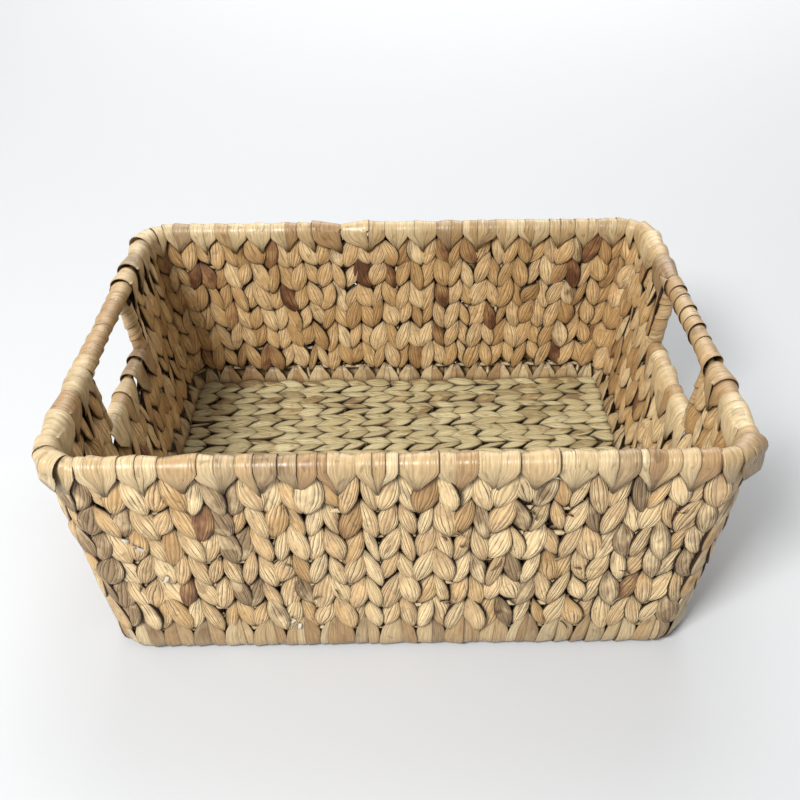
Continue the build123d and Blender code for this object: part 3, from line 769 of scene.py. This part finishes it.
def fold_strips(rows, fold, random):
    """Flat strips folded over an edge, from the seams in rows.

    Each end of a strip gathers towards the middle or the edge of its V: its sides stand at
    target + (side - target) * spread. One side lies on the strip beside it.
    """
    middle, low, high = [np.array(column, float)[:, None] for column in zip(*rows)]
    each = (len(rows), 1)
    low = low - random.uniform(*STRIP_LAP, each)
    high = high + random.uniform(*STRIP_LAP, each)
    edge = np.where(low + high > 2 * middle, middle + 1, middle - 1)
    outer, inner = (edge, middle) if fold.gathers[0] else (middle, edge)
    outside = np.arange(len(fold.inset)) < len(fold.inset) / 2
    target = np.where(outside[None], outer, inner)
    left = target + (low - target) * fold.spread
    right = target + (high - target) * fold.spread
    middle_seam = (left + right) / 2
    height = fold.height + random.normal(0, TIP_SPREAD, each) * (1 - fold.spread)
    inset = np.broadcast_to(fold.inset, left.shape)
    on_wall = wall_point(middle_seam, height, inset)
    face = np.cross(onward(middle_seam), unit(np.gradient(on_wall, axis=1)))
    tilt = random.choice([-1, 1], each, p=TILT_SHARES) * random.uniform(*STRIP_TILT, each)
    lift = (STRIP_LIFT + random.uniform(0, LIFT_SPREAD, each))[..., None]
    span = wall_point(right, height, inset) - wall_point(left, height, inset)
    span = np.linalg.norm(span, axis=-1)
    rise = STRIP_RISE * (1 + random.normal(0, RISE_SPREAD, each)) * np.ones_like(span)
    flutes = random.normal(0, STRIP_FLUTES, (*each, RING_POINTS))
    across = onward(middle_seam) + face * tilt[..., None]
    centre = on_wall + face * lift
    half_wide = span / 2 + STRIP_MARGIN
    rings = sweep(centre, across, half_wide, rise, STRIP_SINK * rise, STRIP_SQUARE, flutes)
    tone = np.maximum(tones(random, each, STRIP_TONE_SPREAD), DARKEST_STRIP)[..., None]
    # Painted shade towards a strip's tip, where it goes under the strands
    tuck_shade = TIP_TUCK_SHADE * (1 - fold.spread[None, :, None]) ** 2
    uv = tube_uv(rings, random.uniform(0, UV_SHIFT, len(rows)))
    return rings, uv, {"tone": tone, "tuck_shade": tuck_shade}


def folded_edge(name, seams, fold, cuts, node, seed):
    """The strips along a stretch of an edge."""
    random = np.random.default_rng(seed)
    strips = fold_strips(cut_columns(range(*seams, 2), cuts, random), fold, random)
    place_tubes(name, strips, STRIP_FINISH, [node])


SILL_RADIUS = 4.6 * MM
SILL_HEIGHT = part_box("right_sill_binding")[1].z - SILL_RADIUS
RIM_FOLD = over_wire(RIM_WIRE_HEIGHT, RIM_RADIUS, HOOP_HEIGHTS[-1])
SILL_FOLD = over_wire(SILL_HEIGHT, SILL_RADIUS, HOOP_HEIGHTS[SILL_HOOP])
# From a point between two Vs down the foot, under the base hoop and up inside
FOOT_INSET = [3.0, 1.4, 0.6, 0.4, 1.0, 2.6, 5.0, 7.5, 11.0, 12.8, 13.6, 13.2, 12.2, 11.2, 9.0]
FOOT_HEIGHT = [29, 24.5, 17, 10, 5.6, 2.5, 0.8, 0.55, 0.55, 1.6, 4.5, 8.5, 12.5, 17, 21]
FOOT_SPREAD = [0.14, 0.48, 0.84, 0.98, 1, 1, 1, 1, 1, 1, 1, 0.95, 0.8, 0.5, 0.25]
FOOT_FOLD = Fold(
    inset=np.array(FOOT_INSET) * MM,
    height=np.array(FOOT_HEIGHT) * MM,
    spread=np.array(FOOT_SPREAD),
    gathers=(1, 0),
)

# Shares of columns that have one, two and three strips
MANY_CUTS = (0.1, 0.6, 0.3)
SOME_CUTS = (0.4, 0.6, 0)
FEW_CUTS = (0.6, 0.4, 0)
FOOT_CUTS = (0, 0.6, 0.4)

for seed, (side, seams) in enumerate(LONG_WALLS.items()):
    rim, foot = f"{side}_rim", f"{side}_foot_strips"
    folded_edge(f"{rim}_strips", seams, RIM_FOLD, MANY_CUTS, f"{rim}_wrap", 50 + seed)
    folded_edge(foot, seams, FOOT_FOLD, FOOT_CUTS, f"{side}_hem", 60 + seed)
for seed, (quarter, seams) in enumerate(CORNERS.items()):
    corner = f"{quarter}_corner"
    rim, foot = f"{corner}_rim", f"{corner}_foot_strips"
    folded_edge(f"{rim}_strips", seams, RIM_FOLD, SOME_CUTS, f"{rim}_wrap", 70 + seed)
    folded_edge(foot, seams, FOOT_FOLD, FOOT_CUTS, f"{corner}_hem", 80 + seed)
for seed, (quarter, seams) in enumerate(CHEEKS.items(), 90):
    rim = f"{quarter}_cheek_rim"
    folded_edge(f"{rim}_strips", seams, RIM_FOLD, FEW_CUTS, f"{rim}_wrap", seed)

# Loose folds at three corners, with the seams at their two sides
LOOSE_FOLDS = {"front_right": (33.2, 35.1), "front_left": (121.2, 123.2), "back_left": (96.1, 97.9)}
LOOSE_STAND = 0.7 * MM  # from the strips round the rim to a loose fold
for seed, (quarter, (low, high)) in enumerate(LOOSE_FOLDS.items(), 160):
    fold = loose_over_wire(RIM_WIRE_HEIGHT, RIM_RADIUS + LOOSE_STAND)
    strip = fold_strips([((low + high) / 2, low, high)], fold, np.random.default_rng(seed))
    corner = f"{quarter}_corner"
    nodes = [f"{corner}_rim_wrap"]
    place_tubes(f"{corner}_loose_fold", strip, STRIP_FINISH, nodes)

for seed, (side, seams) in enumerate(SHORT_WALLS.items(), 100):
    folded_edge(f"{side}_foot_strips", seams, FOOT_FOLD, FOOT_CUTS, f"{side}_hem", seed)
for seed, (side, seams) in enumerate(SILLS.items(), 110):
    sill = f"{side}_sill"
    folded_edge(f"{sill}_strips", seams, SILL_FOLD, FEW_CUTS, f"{sill}_binding", seed)


# Strips wound round the grips and the sides of the hand holes

OFF_AXIS = [0.31, 0.2, 0.93]  # any direction that no core runs in
STEPS_PER_TURN = 18
SLIP = 0.12  # how much the turns' places differ, in turns
SWELL = 0.25 * MM  # how much their radius differs
LEAD_TURNS = 0.9  # turns in which a strip comes down onto the core from its ends
WOUND_TILT = 0.05  # slope of a turn that lies on the one before
WOUND_HALF_WIDTH = 0.58  # of the pitch
WOUND_SPREAD = 0.08
WOUND_RISE = 0.35 * MM  # bulge of a strip, and WOUND_SINK of it to its back
WOUND_SINK = 0.6
# Wound strips are browner than the straw of the other strips: painted shade
SHADED_WOUND_TONE = 0.36
WOUND_TONE_SPREAD = 0.1


class Winding(NamedTuple):
    """The sizes of a wound strip."""

    radius: float  # of the core
    pitch: float  # from one turn to the next
    lead_in: float  # how far its ends stand off the core


def wind(start, end, size, seed):
    """One strip wound round a straight core, each turn lying on the one before.

    With a the angle wound so far, the strip's middle is at start + direction * pitch * a / 2pi
    + radius * (first * cos(a) + second * sin(a)), with first and second square to the core.
    """
    random = np.random.default_rng(seed)
    run = end - start
    length = np.linalg.norm(run)
    direction = run / length
    first = unit(np.cross(direction, OFF_AXIS))
    second = np.cross(direction, first)
    turns = length / size.pitch
    steps = int(turns * STEPS_PER_TURN)
    wound = np.linspace(0, turns, steps)
    whole = np.arange(int(turns) + 3)

    def vary(spread):
        """Random numbers round zero, one for each whole turn and evenly between them."""
        return np.interp(wound, whole, random.normal(0, spread, len(whole)))

    slip = vary(SLIP) * size.pitch
    swell = vary(SWELL)
    swell = swell + size.lead_in * np.exp(-np.minimum(wound, turns - wound) / LEAD_TURNS)
    angle = 2 * np.pi * wound
    radial = first * np.cos(angle)[:, None] + second * np.sin(angle)[:, None]
    along = np.clip(wound * size.pitch + slip, 0, length)
    centre = start + direction * along[:, None] + radial * (size.radius + swell)[:, None]
    across = radial * WOUND_TILT - direction
    half_wide = WOUND_HALF_WIDTH * size.pitch * (1 + vary(WOUND_SPREAD))
    rise = np.full((1, steps), WOUND_RISE)
    sink = WOUND_SINK * rise
    rings = sweep(centre[None], across[None], half_wide[None], rise, sink, STRIP_SQUARE)
    tone = SHADED_WOUND_TONE + vary(WOUND_TONE_SPREAD)[None, :, None]
    return rings, tube_uv(rings, random.uniform(0, UV_SHIFT, 1)), {"tone": tone, "tuck_shade": 0.0}


def wound_strip(name, start, end, size, node, seed):
    """A piece of one wound strip."""
    strip = wind(start, end, size, seed)
    place_tubes(name, strip, STRIP_FINISH, [node])


GRIP_WINDING = Winding(radius=5.7 * MM, pitch=13 * MM, lead_in=1.2 * MM)
JAMB_WINDING = Winding(radius=4.4 * MM, pitch=11 * MM, lead_in=0.3 * MM)
JAMB_SHIFT = 4.9 * MM  # from the seam at the side of a hand hole to the middle of its binding
JAMB_TOP = RIM_WIRE_HEIGHT - 6 * MM  # just under the grip
JAMB_FOOT = SILL_HEIGHT + SILL_RADIUS
for seed, (side, (first, last)) in enumerate(SILLS.items()):
    start, end = [wall_point(seam, RIM_WIRE_HEIGHT, WALL / 2) for seam in (first, last)]
    grip = f"{side}_grip"
    wound_strip(f"{grip}_strip", start, end, GRIP_WINDING, f"{grip}_wrap", 120 + seed)
    for seam, inwards in ((first, 1), (last, -1)):
        wall = "front" if (side == "right") == (seam == first) else "back"
        jamb = f"{wall}_{side}_jamb"
        shift = JAMB_SHIFT * inwards * onward(seam)
        low, high = [wall_point(seam, z, WALL / 2) + shift for z in (JAMB_FOOT, JAMB_TOP)]
        jamb_seed = 130 + 2 * seed + (inwards > 0)
        wound_strip(f"{jamb}_strip", low, high, JAMB_WINDING, f"{jamb}_binding", jamb_seed)


# Floor

FLOOR_LOW, FLOOR_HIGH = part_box("base_weave")
FLOOR_END, FLOOR_TOP = FLOOR_HIGH.x, FLOOR_HIGH.z
FLOOR_THICKNESS = FLOOR_TOP - FLOOR_LOW.z
FLOOR_PAIRS = 34
FLOOR_PAIR = FLOOR_HIGH.y / (FLOOR_PAIRS / 2)  # width of a pair
CROSS_PITCH = 18 * MM
CROSS_WIRES = 19
FLOOR_START = FLOOR_END - CROSS_PITCH * CROSS_WIRES / 2


def floor_point(seam, run, inset):
    """Points of the floor: the seams are counted along +Y and the strands run towards -X."""
    seam, run, inset = np.broadcast_arrays(seam, run, inset)
    return np.stack([FLOOR_END - run, seam * FLOOR_PAIR, FLOOR_TOP - inset], -1)


def level_up(seam):
    """Straight up, at each seam."""
    return np.broadcast_to([0.0, 0.0, 1.0], (*np.shape(seam), 3))


def level_back(seam):
    """Towards +Y, at each seam."""
    return np.broadcast_to([0.0, 1.0, 0.0], (*np.shape(seam), 3))


FLOOR_SHEET = Sheet(floor_point, level_up, level_back)
FLOOR_TWIST = Twist(
    pitch=CROSS_PITCH,
    thickness=FLOOR_THICKNESS,
    depth=2.3 * MM,
    half_width=0.66,
    rise=1.9 * MM,
    swing=0.38,
    slant=0.46,
    overlap=0.36,
    lip=0.9 * MM,
    flutes=0.12,
)
# Greyer and darker than the walls' shades
FLOOR_SHADES = [
    (0.0, colour("#75664A")),
    (0.15, colour("#937F5A")),
    (0.35, colour("#B09E72")),
    (0.6, colour("#BEAD81")),
    (0.85, colour("#CBBD92")),
    (0.95, colour("#AE9668")),
    (1.0, colour("#947B57")),
]
# Colour of the floor's creases, of its dark edges, partly painted shade, and of the painted shade
# in clefts and under other stalks
FLOOR_CREASE_AND_PAINTED_SHADE = colour("#3A2B14")
FLOOR_MARKS = Marks(
    crease_gap=1.7 * MM,
    crease_depth=0.6,
    edge_band=0.62,
    edge_and_painted_shade_depth=0.9,
    mottling=0.45,
    gloss=0.25,
)
FLOOR_FINISH = water_hyacinth("floor_water_hyacinth", FLOOR_SHADES, FLOOR_CREASE_AND_PAINTED_SHADE, FLOOR_MARKS)
# The floor's pieces, with their first and last seams
FLOOR_PARTS = {"front": (-17, -6), "middle": (-6, 6), "back": (6, 17)}
for seed, (part, seams) in enumerate(FLOOR_PARTS.items(), 140):
    pairs = np.arange(*seams)
    strands = twine(FLOOR_SHEET, pairs, 1, FLOOR_TWIST, FLOOR_START, 0, CROSS_WIRES, seed)
    name = f"{part}_floor_twining"
    place_tubes(name, strands, FLOOR_FINISH, ["base_weave"])


# Torn ends and pith

SHRED_RINGS = 10
SHRED_LEAN = 1.1  # up to this angle from upright
SHRED_BEND = 0.9  # up to this much further at its end
SHRED_SPREAD = (0.6, 1.3)  # shares of its length, and of how far it stands out
SHRED_STAND = 2.2 * MM  # how far a shred stands out of the wall, before SHRED_DEPTH comes off
SHRED_DEPTH = 0.8 * MM  # from the wall's outside in to a shred's start
SHRED_TILT = 0.4  # how much the slopes of their cross sections differ
SHRED_TIP = 0.1  # of the full width
SHRED_TONES = (0.1, 0.9)


def shreds(seam, height, sizes, seed):
    """Torn ends of stalk that start in the wall and curl out of it, one for each seam and height.

    sizes are the length, the half width and the half thickness. With t from 0 to 1, an end runs
    length * t in its own direction in the wall and stands stand * (1.8 * t - t^2) - depth out of
    it, and it thins out as (1 - t^3).
    """
    random = np.random.default_rng(seed)
    each = (len(seam), 1)
    t = np.linspace(0, 1, SHRED_RINGS)
    lean = random.uniform(-SHRED_LEAN, SHRED_LEAN, each)
    lean = lean + random.uniform(-SHRED_BEND, SHRED_BEND, each) * t
    length, half_wide, rise = sizes
    length = length * random.uniform(*SHRED_SPREAD, each)
    way = random.choice([-1, 1], (*each, 1))
    upright = np.array([0.0, 0.0, 1.0])
    level, out = onward(seam)[:, None], outward(seam)[:, None]
    run = (level * np.sin(lean)[..., None] + upright * np.cos(lean)[..., None]) * way
    stand = SHRED_STAND * (1.8 * t - t**2) * random.uniform(*SHRED_SPREAD, each) - SHRED_DEPTH
    centre = wall_point(seam, height, 0.0)[:, None] + run * (length * t)[..., None]
    centre = centre + out * stand[..., None]
    across = np.cross(run, out) + out * random.normal(0, SHRED_TILT, (*each, 1))
    thin = np.maximum(1 - t**3, SHRED_TIP) * np.ones(each)
    rings = sweep(centre, across, half_wide * thin, rise * thin, rise * thin)
    tone = random.uniform(*SHRED_TONES, (*each, 1))
    uv = tube_uv(rings, random.uniform(0, UV_SHIFT, len(seam)))
    return rings, uv, {"tone": tone, "tuck_shade": 0.0}


PITH_SHADES = [(0.0, colour("#D8CBB2")), (1.0, colour("#F4EFE4"))]
# Colour of the pith's creases, of its dark edges, partly painted shade, and of the painted shade in
# clefts
PITH_CREASE_AND_PAINTED_SHADE = colour("#A58F6C")
PITH_MARKS = Marks(
    crease_gap=1.2 * MM,
    crease_depth=0.3,
    edge_band=0.3,
    edge_and_painted_shade_depth=0.4,
    mottling=0.3,
    gloss=0.1,
)
PITH_FINISH = water_hyacinth("hyacinth_pith", PITH_SHADES, PITH_CREASE_AND_PAINTED_SHADE, PITH_MARKS)
PITH_SEAMS = np.array([1.5, 1.2, 1.9, 2.6, 9.75, 9.5, 23.7])
PITH_HEIGHTS = np.array([90, 94, 87, 66, 24, 28, 138]) * MM
PITH_SIZES = (4.5 * MM, 1.1 * MM, 0.4 * MM)
TORN_ENDS = 26  # on each long wall
TORN_HEIGHTS = (14 * MM, RIM_WIRE_HEIGHT - 18 * MM)
TORN_SIZES = (9 * MM, 0.55 * MM, 0.3 * MM)

random = np.random.default_rng(150)
for side, (first, last) in LONG_WALLS.items():
    torn_seams = random.uniform(first + 0.5, last - 0.5, TORN_ENDS)
    torn_heights = random.uniform(*TORN_HEIGHTS, TORN_ENDS)
    fibres = shreds(torn_seams, torn_heights, TORN_SIZES, 151)
    name = f"{side}_torn_fibres"
    place_tubes(name, fibres, WALL_FINISH, [f"{side}_weave"])
pith = shreds(PITH_SEAMS, PITH_HEIGHTS, PITH_SIZES, 152)
place_tubes("front_pith_shreds", pith, PITH_FINISH, ["front_weave"])


# Stage: a pale floor, soft light and the camera

STAGE_RADIUS = 4.0
STAGE_BEND = 1.2  # radius of the bend from the floor into the wall
STAGE_HEIGHT = 2.4
STAGE_RINGS = (0.3, 1.2)  # radii of the first rings of the flat part
STAGE_SIDES = 96


def sweep_floor():
    """A round floor that bends up into a low wall: a profile turned about the Z axis, with
    radius = flat + bend * sin(a) and height = bend * (1 - cos(a)) in the bend."""
    angle = np.linspace(0, np.pi / 2, 13)
    flat = STAGE_RADIUS - STAGE_BEND
    radius = np.concatenate([STAGE_RINGS, flat + STAGE_BEND * np.sin(angle), [STAGE_RADIUS]])
    height = np.concatenate([[0.0, 0.0], STAGE_BEND * (1 - np.cos(angle)), [STAGE_HEIGHT]])
    around = np.linspace(0, 2 * np.pi, STAGE_SIDES, endpoint=False)
    level = np.stack([np.cos(around), np.sin(around)], -1)
    upright = np.broadcast_to(height[:, None, None], (len(radius), STAGE_SIDES, 1))
    points = np.concatenate([radius[:, None, None] * level[None], upright], -1)
    here = np.arange(STAGE_SIDES)
    after = (here + 1) % STAGE_SIDES
    low = (np.arange(len(radius) - 1) * STAGE_SIDES)[:, None]
    high = low + STAGE_SIDES
    quads = np.stack([low + here, high + here, high + after, low + after], -1).reshape(-1, 4)
    mesh = bpy.data.meshes.new("stage_floor")
    mesh.from_pydata(points.reshape(-1, 3).tolist(), [], [here.tolist()] + quads.tolist())
    mesh.shade_smooth()
    return mesh


floor_mesh = sweep_floor()
floor = bpy.data.objects.new("stage_floor", floor_mesh)
bpy.context.scene.collection.objects.link(floor)
# White cotton cloth, matt
cloth = bpy.data.materials.new("white_cotton_cloth")
cloth.use_nodes = True
cloth_surface = cloth.node_tree.nodes["Principled BSDF"].inputs
cloth_surface["Base Color"].default_value = colour("#BEBFC0")
cloth_surface["Roughness"].default_value = 0.9
floor_mesh.materials.append(cloth)

world = bpy.data.worlds.new("studio")
bpy.context.scene.world = world
world.use_nodes = True
sky = world.node_tree.nodes["Background"].inputs
sky["Color"].default_value = colour("#F4F6F8")
sky["Strength"].default_value = 0.5


def soft_light(name, position, aim, size, power):
    """A square soft box, turned towards a point."""
    lamp = bpy.data.lights.new(name, "AREA")
    lamp.size = size
    lamp.energy = power
    soft_box = bpy.data.objects.new(name, lamp)
    direction = Vector(aim) - Vector(position)
    soft_box.rotation_euler = direction.to_track_quat("-Z", "Y").to_euler()
    soft_box.location = position
    bpy.context.scene.collection.objects.link(soft_box)


soft_light("window_light", position=(-0.8, -1.15, 1.45), aim=(0, 0, 0.05), size=0.6, power=52)
soft_light("ceiling_light", position=(0.2, 2.3, 1.9), aim=(0, 2.1, 0), size=2.5, power=80)

CAMERA_PLACE = (3.002 * MM, -544.42 * MM, 472.81 * MM)
CAMERA_PITCH = 0.620312  # radians, as are the yaw and the roll
CAMERA_YAW = -0.0027286
CAMERA_ROLL = -0.0145933
SENSOR_WIDTH = 36.0
FOCAL_SHARE = 1.2  # focal length as a share of the sensor's width


def camera_matrix():
    """The camera's axes: it looks down by the pitch, round by the yaw, then turns by the roll."""
    forward = np.array(
        [
            np.sin(CAMERA_YAW) * np.cos(CAMERA_PITCH),
            np.cos(CAMERA_YAW) * np.cos(CAMERA_PITCH),
            -np.sin(CAMERA_PITCH),
        ]
    )
    level = np.array([np.cos(CAMERA_YAW), -np.sin(CAMERA_YAW), 0.0])
    upright = np.cross(level, forward)
    right = np.cos(CAMERA_ROLL) * level + np.sin(CAMERA_ROLL) * upright
    up = -np.sin(CAMERA_ROLL) * level + np.cos(CAMERA_ROLL) * upright
    matrix = np.eye(4)
    matrix[:3, 0] = right
    matrix[:3, 1] = up
    matrix[:3, 2] = -forward
    matrix[:3, 3] = CAMERA_PLACE
    return Matrix(matrix.tolist())


camera_data = bpy.data.cameras.new("camera")
camera_data.sensor_width = SENSOR_WIDTH
camera_data.lens = SENSOR_WIDTH * FOCAL_SHARE
camera_data.clip_start = 0.01
camera = bpy.data.objects.new("camera", camera_data)
camera.matrix_world = camera_matrix()
bpy.context.scene.collection.objects.link(camera)
bpy.context.scene.camera = camera
bpy.context.scene.view_settings.view_transform = "Standard"
